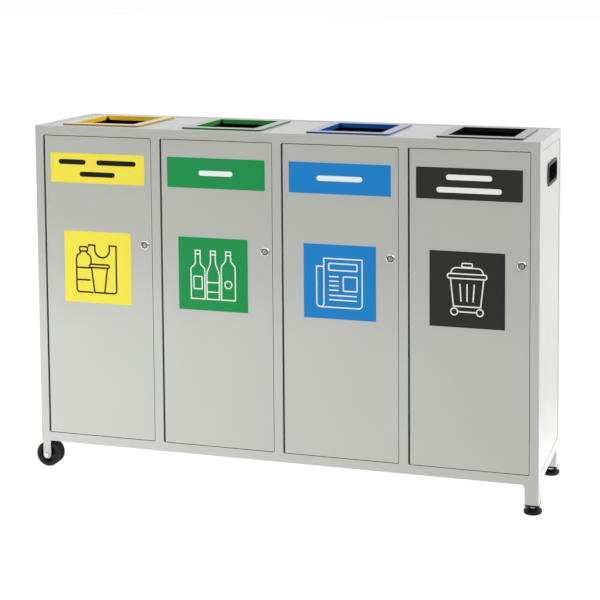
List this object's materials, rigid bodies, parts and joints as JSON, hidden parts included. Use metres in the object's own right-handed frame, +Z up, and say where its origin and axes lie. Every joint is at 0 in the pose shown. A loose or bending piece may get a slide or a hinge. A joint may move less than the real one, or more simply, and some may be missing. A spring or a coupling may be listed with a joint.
{
  "type": "recycling bin station",
  "caption": "Free-standing metal recycling station: a row of hinged, lockable doors with blank colour-coded plates, top inlets, inner bins, castors at one end and levelling feet at the other.",
  "frame": {"origin": "bottom centre of the overall bounding box, on the ground plane; the cabinet's own centre is 7.25 mm towards +X because the castor wheels stand out further than the foot pads", "axes": "+X along the row of doors from the castor end to the foot end, +Y from the doors to the rear panel, +Z up"},
  "size_m": [1.4444, 0.31, 0.968],
  "materials": {
    "body_grey": "satin light-grey powder coat",
    "yellow_stream": "yellow printed vinyl plate",
    "green_stream": "green printed vinyl plate",
    "blue_stream": "blue printed vinyl plate",
    "black_stream": "charcoal printed vinyl plate",
    "yellow_inlet": "glossy yellow",
    "green_inlet": "glossy green",
    "blue_inlet": "glossy blue",
    "black_inlet": "glossy black",
    "black_plastic": "fine-grained black moulding",
    "nylon": "dark nylon",
    "rubber": "matt black rubber",
    "chrome": "polished chrome plate",
    "zinc": "bright zinc-plated steel",
    "galvanised": "galvanised sheet steel"
  },
  "bodies": {
    "cabinet": {"tube_frame": "body_grey", "legs": "body_grey", "leg_caps": "black_plastic", "castor_forks": "body_grey", "top_panel": "body_grey", "side_panel_left": "body_grey", "side_panel_right": "body_grey", "back_panel": "body_grey", "floor_panel": "galvanised", "partitions": "galvanised", "recessed_handle": "black_plastic", "hinge_pins": "zinc", "door_stops": "body_grey", "axle_bolts": "zinc", "axle_nuts": "zinc", "yellow_inlet_trim": "yellow_inlet", "green_inlet_trim": "green_inlet", "blue_inlet_trim": "blue_inlet", "black_inlet_trim": "black_inlet", "yellow_inner_bin": "galvanised", "green_inner_bin": "galvanised", "blue_inner_bin": "galvanised", "black_inner_bin": "galvanised"},
    "yellow_door_leaf": {"yellow_door": "body_grey", "yellow_title_plate": "yellow_stream", "yellow_symbol_plate": "yellow_stream", "yellow_lock_body": "chrome", "yellow_hinge_bushes": "nylon"},
    "yellow_lock_core": {"yellow_lock_plug": "chrome", "yellow_lock_cam": "zinc"},
    "green_door_leaf": {"green_door": "body_grey", "green_title_plate": "green_stream", "green_symbol_plate": "green_stream", "green_lock_body": "chrome", "green_hinge_bushes": "nylon"},
    "green_lock_core": {"green_lock_plug": "chrome", "green_lock_cam": "zinc"},
    "blue_door_leaf": {"blue_door": "body_grey", "blue_title_plate": "blue_stream", "blue_symbol_plate": "blue_stream", "blue_lock_body": "chrome", "blue_hinge_bushes": "nylon"},
    "blue_lock_core": {"blue_lock_plug": "chrome", "blue_lock_cam": "zinc"},
    "black_door_leaf": {"black_door": "body_grey", "black_title_plate": "black_stream", "black_symbol_plate": "black_stream", "black_lock_body": "chrome", "black_hinge_bushes": "nylon"},
    "black_lock_core": {"black_lock_plug": "chrome", "black_lock_cam": "zinc"},
    "front_wheel": {"front_tyre": "rubber", "front_wheel_hub": "black_plastic"},
    "rear_wheel": {"rear_tyre": "rubber", "rear_wheel_hub": "black_plastic"},
    "front_foot": {"front_foot_pad": "black_plastic"},
    "front_screw": {"front_foot_stem": "zinc"},
    "rear_foot": {"rear_foot_pad": "black_plastic"},
    "rear_screw": {"rear_foot_stem": "zinc"}
  },
  "joints": [
    {"name": "yellow_door_hinge", "type": "hinge", "parent": "cabinet", "child": "yellow_door_leaf", "pos_m": [-0.66955, -0.145, 0.521], "axis": [0, 0, -1], "range_deg": [0, 110]},
    {"name": "yellow_lock_turn", "type": "hinge", "parent": "yellow_door_leaf", "child": "yellow_lock_core", "pos_m": [-0.376, -0.15, 0.647], "axis": [0, -1, 0], "range_deg": [0, 90]},
    {"name": "green_door_hinge", "type": "hinge", "parent": "cabinet", "child": "green_door_leaf", "pos_m": [-0.3208, -0.145, 0.521], "axis": [0, 0, -1], "range_deg": [0, 110]},
    {"name": "green_lock_turn", "type": "hinge", "parent": "green_door_leaf", "child": "green_lock_core", "pos_m": [-0.02725, -0.15, 0.647], "axis": [0, -1, 0], "range_deg": [0, 90]},
    {"name": "blue_door_hinge", "type": "hinge", "parent": "cabinet", "child": "blue_door_leaf", "pos_m": [0.02795, -0.145, 0.521], "axis": [0, 0, -1], "range_deg": [0, 110]},
    {"name": "blue_lock_turn", "type": "hinge", "parent": "blue_door_leaf", "child": "blue_lock_core", "pos_m": [0.3215, -0.15, 0.647], "axis": [0, -1, 0], "range_deg": [0, 90]},
    {"name": "black_door_hinge", "type": "hinge", "parent": "cabinet", "child": "black_door_leaf", "pos_m": [0.3767, -0.145, 0.521], "axis": [0, 0, -1], "range_deg": [0, 110]},
    {"name": "black_lock_turn", "type": "hinge", "parent": "black_door_leaf", "child": "black_lock_core", "pos_m": [0.67025, -0.15, 0.647], "axis": [0, -1, 0], "range_deg": [0, 90]},
    {"name": "front_wheel_spin", "type": "hinge", "parent": "cabinet", "child": "front_wheel", "pos_m": [-0.68725, -0.1295, 0.035], "axis": [0, 1, 0], "continuous": true},
    {"name": "rear_wheel_spin", "type": "hinge", "parent": "cabinet", "child": "rear_wheel", "pos_m": [-0.68725, 0.1295, 0.035], "axis": [0, 1, 0], "continuous": true},
    {"name": "front_foot_height", "type": "slide", "parent": "cabinet", "child": "front_foot", "axis": [0, 0, -1], "range_m": [0, 0.015]},
    {"name": "front_foot_turn", "type": "hinge", "parent": "front_foot", "child": "front_screw", "pos_m": [0.69825, -0.131, 0.02], "axis": [0, 0, -1], "range_deg": [0, 3600]},
    {"name": "rear_foot_height", "type": "slide", "parent": "cabinet", "child": "rear_foot", "axis": [0, 0, -1], "range_m": [0, 0.015]},
    {"name": "rear_foot_turn", "type": "hinge", "parent": "rear_foot", "child": "rear_screw", "pos_m": [0.69825, 0.131, 0.02], "axis": [0, 0, -1], "range_deg": [0, 3600]}
  ],
  "couplings": [
    {"joint": "front_foot_turn", "follows": "front_foot_height", "rad_per_m": 4188.8},
    {"joint": "rear_foot_turn", "follows": "rear_foot_height", "rad_per_m": 4188.8}
  ]
}
